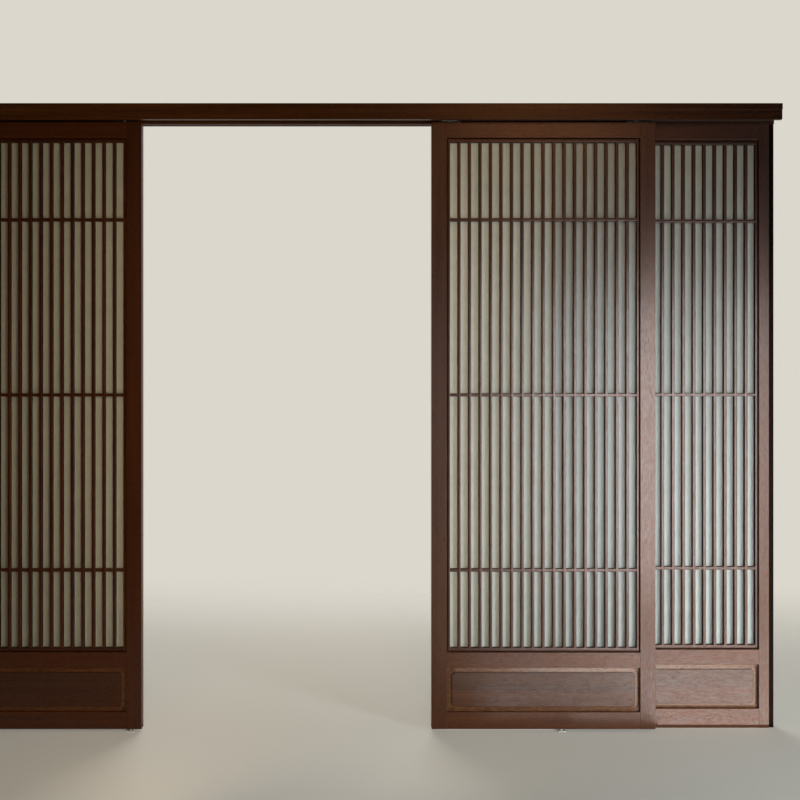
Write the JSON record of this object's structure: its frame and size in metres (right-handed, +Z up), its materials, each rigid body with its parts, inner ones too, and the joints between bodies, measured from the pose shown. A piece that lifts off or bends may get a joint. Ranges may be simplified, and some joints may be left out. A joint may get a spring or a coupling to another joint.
{
  "type": "wooden grille sliding door",
  "caption": "Wooden grille sliding door with its frame: fixed side leaves, and top-hung leaves that slide past in front of them on a hidden track, with lattices over pale sheets.",
  "frame": {"origin": "on the floor, in the middle of the unit's width and depth", "axes": "+X along the track to the right seen from the room, +Y from the room to the back, +Z up"},
  "size_m": [3.4, 0.103, 2.46],
  "materials": {
    "frame_wood": "satin stained, grain upright",
    "rail_wood": "satin stained, grain level",
    "panel_wood": "satin stained, edge-glued boards",
    "lattice_wood": "satin stained slats",
    "head_wood": "satin stained, grain level",
    "infill_sheet": "frosted, pale, translucent",
    "track_aluminium": "anodised",
    "zinc_steel": "zinc plated",
    "wheel_nylon": "moulded nylon",
    "buffer_rubber": "matt",
    "guide_plastic": "moulded, white"
  },
  "bodies": {
    "frame": {"head_board": "head_wood", "head_fascia": "head_wood", "head_back_rail": "head_wood", "left_jamb": "frame_wood", "right_jamb": "frame_wood", "track": "track_aluminium", "track_screws": "zinc_steel", "track_stops": "zinc_steel", "stop_buffers": "buffer_rubber", "floor_guides": "guide_plastic", "left_fixed_inner_stile": "frame_wood", "left_fixed_outer_stile": "frame_wood", "left_fixed_top_rail": "rail_wood", "left_fixed_mid_rail": "rail_wood", "left_fixed_bottom_rail": "rail_wood", "left_fixed_panel": "panel_wood", "left_fixed_lattice": "lattice_wood", "left_fixed_infill": "infill_sheet", "left_fixed_beads": "rail_wood", "right_fixed_inner_stile": "frame_wood", "right_fixed_outer_stile": "frame_wood", "right_fixed_top_rail": "rail_wood", "right_fixed_mid_rail": "rail_wood", "right_fixed_bottom_rail": "rail_wood", "right_fixed_panel": "panel_wood", "right_fixed_lattice": "lattice_wood", "right_fixed_infill": "infill_sheet", "right_fixed_beads": "rail_wood"},
    "left_leaf": {"left_sliding_inner_stile": "frame_wood", "left_sliding_outer_stile": "frame_wood", "left_sliding_top_rail": "rail_wood", "left_sliding_mid_rail": "rail_wood", "left_sliding_bottom_rail": "rail_wood", "left_sliding_panel": "panel_wood", "left_sliding_lattice": "lattice_wood", "left_sliding_infill": "infill_sheet", "left_sliding_beads": "rail_wood", "left_sliding_carriages": "zinc_steel", "left_sliding_hanger_plates": "zinc_steel", "left_sliding_hanger_fasteners": "zinc_steel"},
    "left_wheels_1": {"left_sliding_wheels_1": "wheel_nylon"},
    "left_wheels_2": {"left_sliding_wheels_2": "wheel_nylon"},
    "left_wheels_3": {"left_sliding_wheels_3": "wheel_nylon"},
    "left_wheels_4": {"left_sliding_wheels_4": "wheel_nylon"},
    "right_leaf": {"right_sliding_inner_stile": "frame_wood", "right_sliding_outer_stile": "frame_wood", "right_sliding_top_rail": "rail_wood", "right_sliding_mid_rail": "rail_wood", "right_sliding_bottom_rail": "rail_wood", "right_sliding_panel": "panel_wood", "right_sliding_lattice": "lattice_wood", "right_sliding_infill": "infill_sheet", "right_sliding_beads": "rail_wood", "right_sliding_carriages": "zinc_steel", "right_sliding_hanger_plates": "zinc_steel", "right_sliding_hanger_fasteners": "zinc_steel"},
    "right_wheels_1": {"right_sliding_wheels_1": "wheel_nylon"},
    "right_wheels_2": {"right_sliding_wheels_2": "wheel_nylon"},
    "right_wheels_3": {"right_sliding_wheels_3": "wheel_nylon"},
    "right_wheels_4": {"right_sliding_wheels_4": "wheel_nylon"}
  },
  "joints": [
    {"name": "left_leaf_slide", "type": "slide", "parent": "frame", "child": "left_leaf", "axis": [1, 0, 0], "range_m": [-0.014, 0.8015]},
    {"name": "left_wheels_1_roll", "type": "hinge", "parent": "left_leaf", "child": "left_wheels_1", "pos_m": [-1.629, -0.0035, 2.4227], "axis": [0, 1, 0], "continuous": true},
    {"name": "left_wheels_2_roll", "type": "hinge", "parent": "left_leaf", "child": "left_wheels_2", "pos_m": [-1.593, -0.0035, 2.4227], "axis": [0, 1, 0], "continuous": true},
    {"name": "left_wheels_3_roll", "type": "hinge", "parent": "left_leaf", "child": "left_wheels_3", "pos_m": [-0.893, -0.0035, 2.4227], "axis": [0, 1, 0], "continuous": true},
    {"name": "left_wheels_4_roll", "type": "hinge", "parent": "left_leaf", "child": "left_wheels_4", "pos_m": [-0.857, -0.0035, 2.4227], "axis": [0, 1, 0], "continuous": true},
    {"name": "right_leaf_slide", "type": "slide", "parent": "frame", "child": "right_leaf", "axis": [1, 0, 0], "range_m": [-0.3355, 0.48]},
    {"name": "right_wheels_1_roll", "type": "hinge", "parent": "right_leaf", "child": "right_wheels_1", "pos_m": [0.391, -0.0035, 2.4227], "axis": [0, 1, 0], "continuous": true},
    {"name": "right_wheels_2_roll", "type": "hinge", "parent": "right_leaf", "child": "right_wheels_2", "pos_m": [0.427, -0.0035, 2.4227], "axis": [0, 1, 0], "continuous": true},
    {"name": "right_wheels_3_roll", "type": "hinge", "parent": "right_leaf", "child": "right_wheels_3", "pos_m": [1.127, -0.0035, 2.4227], "axis": [0, 1, 0], "continuous": true},
    {"name": "right_wheels_4_roll", "type": "hinge", "parent": "right_leaf", "child": "right_wheels_4", "pos_m": [1.163, -0.0035, 2.4227], "axis": [0, 1, 0], "continuous": true}
  ],
  "couplings": [
    {"joint": "left_wheels_1_roll", "follows": "left_leaf_slide", "rad_per_m": 100},
    {"joint": "left_wheels_2_roll", "follows": "left_leaf_slide", "rad_per_m": 100},
    {"joint": "left_wheels_3_roll", "follows": "left_leaf_slide", "rad_per_m": 100},
    {"joint": "left_wheels_4_roll", "follows": "left_leaf_slide", "rad_per_m": 100},
    {"joint": "right_wheels_1_roll", "follows": "right_leaf_slide", "rad_per_m": 100},
    {"joint": "right_wheels_2_roll", "follows": "right_leaf_slide", "rad_per_m": 100},
    {"joint": "right_wheels_3_roll", "follows": "right_leaf_slide", "rad_per_m": 100},
    {"joint": "right_wheels_4_roll", "follows": "right_leaf_slide", "rad_per_m": 100}
  ]
}
